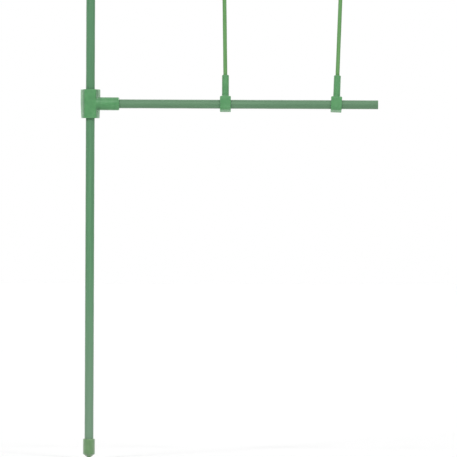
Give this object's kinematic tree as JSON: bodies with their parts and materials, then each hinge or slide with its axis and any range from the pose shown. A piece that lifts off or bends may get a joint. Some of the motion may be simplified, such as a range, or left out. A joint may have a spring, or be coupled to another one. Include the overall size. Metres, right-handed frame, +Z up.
{
  "type": "plant support",
  "caption": "Coated steel post on a pointed foot, with clip-on crossbars held at one end and slim leaning rods clipped between the bars.",
  "frame": {"origin": "tip of the foot, on the post's axis", "axes": "+Z up along the post, +X along the crossbars from the post to their free ends, +Y towards the side on which the clips open"},
  "size_m": [0.3667, 0.0186, 1.211],
  "materials": {
    "stake_coat": "satin extruded polyethylene coat",
    "clip_plastic": "semi-gloss moulded polyethylene",
    "rod_coat": "satin extruded coat, brighter green",
    "steel": "drawn low-carbon steel"
  },
  "bodies": {
    "foot": {"foot_cap": "clip_plastic"},
    "post": {"post_lower_tube": "steel", "post_lower_sheath": "stake_coat", "post_upper_tube": "steel", "post_upper_sheath": "stake_coat", "post_joint_pin": "steel", "top_cap": "clip_plastic"},
    "panel": {"lower_t_clip": "clip_plastic", "upper_t_clip": "clip_plastic", "lower_bar_tube": "steel", "lower_bar_sheath": "stake_coat", "upper_bar_tube": "steel", "upper_bar_sheath": "stake_coat"},
    "rod_1": {"rod_1_core": "steel", "rod_1_sheath": "rod_coat", "rod_1_lower_clip": "clip_plastic", "rod_1_upper_clip": "clip_plastic"},
    "rod_2": {"rod_2_core": "steel", "rod_2_sheath": "rod_coat", "rod_2_lower_clip": "clip_plastic", "rod_2_upper_clip": "clip_plastic"}
  },
  "joints": [
    {"name": "post_turn", "type": "hinge", "parent": "foot", "child": "post", "pos_m": [0, 0, 0.008], "axis": [0, 0, 1], "continuous": true},
    {"name": "panel_height", "type": "slide", "parent": "post", "child": "panel", "axis": [0, 0, 1], "range_m": [-0.16, 0.11]},
    {"name": "rod_1_slide", "type": "slide", "parent": "panel", "child": "rod_1", "axis": [1, 0, 0], "range_m": [-0.11, 0.06]},
    {"name": "rod_2_slide", "type": "slide", "parent": "panel", "child": "rod_2", "axis": [1, 0, 0], "range_m": [-0.06, 0.022]}
  ]
}
